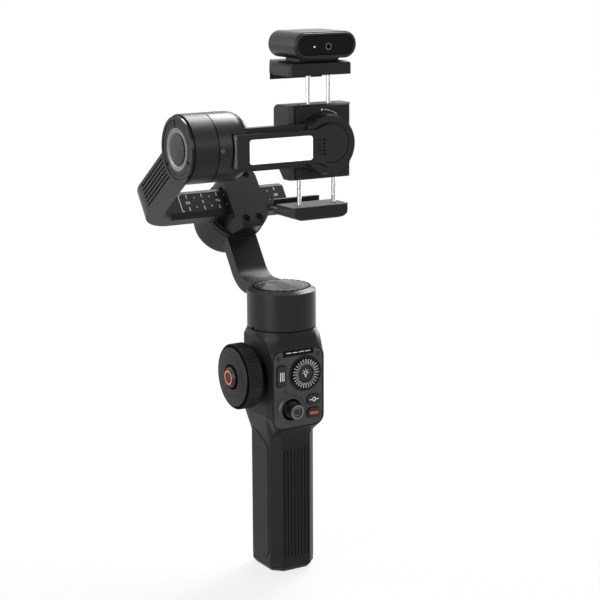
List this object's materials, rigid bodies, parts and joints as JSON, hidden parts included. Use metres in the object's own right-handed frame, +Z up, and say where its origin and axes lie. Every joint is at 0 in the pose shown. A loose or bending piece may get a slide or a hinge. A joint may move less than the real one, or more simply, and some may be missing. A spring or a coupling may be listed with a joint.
{
  "type": "smartphone gimbal",
  "caption": "Hand-held three-axis smartphone gimbal with control panel, side handwheel, fill light, spring clamp and lift-off tracking module.",
  "frame": {"origin": "mouth of the tripod socket, in the middle of the handle's bottom face", "axes": "+Z up the handle and along the pan axis, -Y the control panel side, -X the handwheel side"},
  "size_m": [0.108, 0.1178, 0.3193],
  "materials": {
    "shell": "matt moulded plastic",
    "panel": "satin moulded plastic",
    "keys": "satin keys",
    "gloss": "gloss plastic",
    "window": "dark gloss window",
    "rubber": "soft rubber",
    "motor_alu": "dark anodised, satin",
    "steel": "polished",
    "brass": "turned",
    "stator": "wound stator",
    "magnet": "plated magnets",
    "cell": "wrapped cell",
    "board": "circuit board",
    "light": "white diffuser"
  },
  "bodies": {
    "handle": {"front_shell": "shell", "rear_shell": "shell", "base_cap": "shell", "tripod_insert": "brass", "left_grip_pad": "rubber", "right_grip_pad": "rubber", "panel_plate": "panel", "indicator_lens": "window", "battery_cell": "cell", "circuit_board": "board", "pan_motor_base": "motor_alu", "pan_stator": "stator", "pan_bearings": "steel", "shell_screws": "steel", "wheel_axle": "motor_alu", "trigger_pin": "steel"},
    "menu_key": {"menu_button": "keys"},
    "mode_key": {"mode_button": "keys"},
    "record_key": {"record_button": "keys"},
    "dial": {"dial_wheel": "keys"},
    "dial_key": {"dial_button": "keys"},
    "stick_ring": {"joystick_ring": "steel"},
    "stick": {"joystick": "keys"},
    "side_wheel": {"handwheel": "shell"},
    "side_key": {"wheel_button": "gloss"},
    "rear_trigger": {"trigger": "keys"},
    "power_key": {"power_button": "keys"},
    "pan": {"pan_shell": "motor_alu", "pan_cap": "gloss", "pan_magnets": "magnet", "pan_arm": "motor_alu", "roll_housing": "motor_alu", "roll_cap": "gloss", "roll_stator": "stator", "roll_bearings": "steel"},
    "roll": {"roll_rotor": "motor_alu", "roll_magnets": "magnet", "slide_holder": "motor_alu", "holder_screws": "steel"},
    "slide_lock": {"lock_knob": "keys"},
    "balance": {"support_arm": "motor_alu", "tilt_end_cap": "gloss", "tilt_stator": "stator", "tilt_bearings": "steel"},
    "tilt": {"tilt_rotor": "motor_alu", "tilt_magnets": "magnet", "tilt_arm": "shell", "light_housing": "gloss", "light_diffuser": "light", "led_board": "board"},
    "clamp": {"clamp_block": "shell", "clamp_pad": "rubber", "upper_springs": "steel", "lower_springs": "steel"},
    "jaw_up": {"upper_jaw": "shell", "upper_rods": "steel"},
    "jaw_down": {"lower_jaw": "shell", "lower_rods": "steel"},
    "tracker": {"tracker_body": "gloss", "tracker_window": "window"}
  },
  "joints": [
    {"name": "menu_press", "type": "slide", "parent": "handle", "child": "menu_key", "axis": [0, 1, 0], "range_m": [0, 0.0005], "stiffness_N_per_m": 1500},
    {"name": "mode_press", "type": "slide", "parent": "handle", "child": "mode_key", "axis": [0, 1, 0], "range_m": [0, 0.0005], "stiffness_N_per_m": 1500},
    {"name": "record_press", "type": "slide", "parent": "handle", "child": "record_key", "axis": [0, 1, 0], "range_m": [0, 0.0005], "stiffness_N_per_m": 1500},
    {"name": "dial_turn", "type": "hinge", "parent": "handle", "child": "dial", "pos_m": [0.0045, -0.019, 0.122], "axis": [0, -1, 0], "continuous": true},
    {"name": "dial_press", "type": "slide", "parent": "handle", "child": "dial_key", "axis": [0, 1, 0], "range_m": [0, 0.0004], "stiffness_N_per_m": 1500},
    {"name": "stick_up_down", "type": "hinge", "parent": "handle", "child": "stick_ring", "pos_m": [-0.0049, -0.016, 0.1014], "axis": [1, 0, 0], "range_deg": [-15, 15], "stiffness_Nm_per_rad": 0.03},
    {"name": "stick_left_right", "type": "hinge", "parent": "stick_ring", "child": "stick", "pos_m": [-0.0049, -0.016, 0.1014], "axis": [0, 0, 1], "range_deg": [-15, 15], "stiffness_Nm_per_rad": 0.03},
    {"name": "handwheel_turn", "type": "hinge", "parent": "handle", "child": "side_wheel", "pos_m": [-0.0276, 0.002, 0.1201], "axis": [-1, 0, 0], "continuous": true},
    {"name": "wheel_button_press", "type": "slide", "parent": "handle", "child": "side_key", "axis": [1, 0, 0], "range_m": [0, 0.0005], "stiffness_N_per_m": 1500},
    {"name": "trigger_pull", "type": "hinge", "parent": "handle", "child": "rear_trigger", "pos_m": [0, 0.0152, 0.133], "axis": [-1, 0, 0], "range_deg": [0, 8], "stiffness_Nm_per_rad": 0.3},
    {"name": "power_press", "type": "slide", "parent": "handle", "child": "power_key", "axis": [-1, 0, 0], "range_m": [0, 0.0005], "stiffness_N_per_m": 1500},
    {"name": "pan_axis", "type": "hinge", "parent": "handle", "child": "pan", "pos_m": [0, 0, 0.16], "axis": [0, 0, 1], "range_deg": [-165, 165]},
    {"name": "roll_axis", "type": "hinge", "parent": "pan", "child": "roll", "pos_m": [0, -0.012, 0.2575], "axis": [0, -0.809, 0.5878], "range_deg": [-110, 45]},
    {"name": "slide_lock_turn", "type": "hinge", "parent": "roll", "child": "slide_lock", "pos_m": [0, 0.06161, 0.23121], "axis": [0, 0.5878, 0.809], "range_deg": [0, 180]},
    {"name": "balance_slide", "type": "slide", "parent": "roll", "child": "balance", "axis": [1, 0, 0], "range_m": [-0.015, 0.015]},
    {"name": "tilt_axis", "type": "hinge", "parent": "balance", "child": "tilt", "pos_m": [-0.056, -0.012, 0.2575], "axis": [1, 0, 0], "range_deg": [-80, 110]},
    {"name": "clamp_turn", "type": "hinge", "parent": "tilt", "child": "clamp", "pos_m": [0.014, -0.015, 0.2565], "axis": [0, 1, 0], "range_deg": [0, 90]},
    {"name": "upper_jaw_slide", "type": "slide", "parent": "clamp", "child": "jaw_up", "axis": [0, 0, 1], "range_m": [-0.0098, 0.0017]},
    {"name": "lower_jaw_slide", "type": "slide", "parent": "clamp", "child": "jaw_down", "axis": [0, 0, 1], "range_m": [-0.0017, 0.0098]},
    {"name": "tracker_lift", "type": "slide", "parent": "jaw_up", "child": "tracker", "axis": [0, 0, 1], "range_m": [0, 0.01]}
  ],
  "couplings": [
    {"joint": "lower_jaw_slide", "follows": "upper_jaw_slide", "ratio": -1}
  ]
}
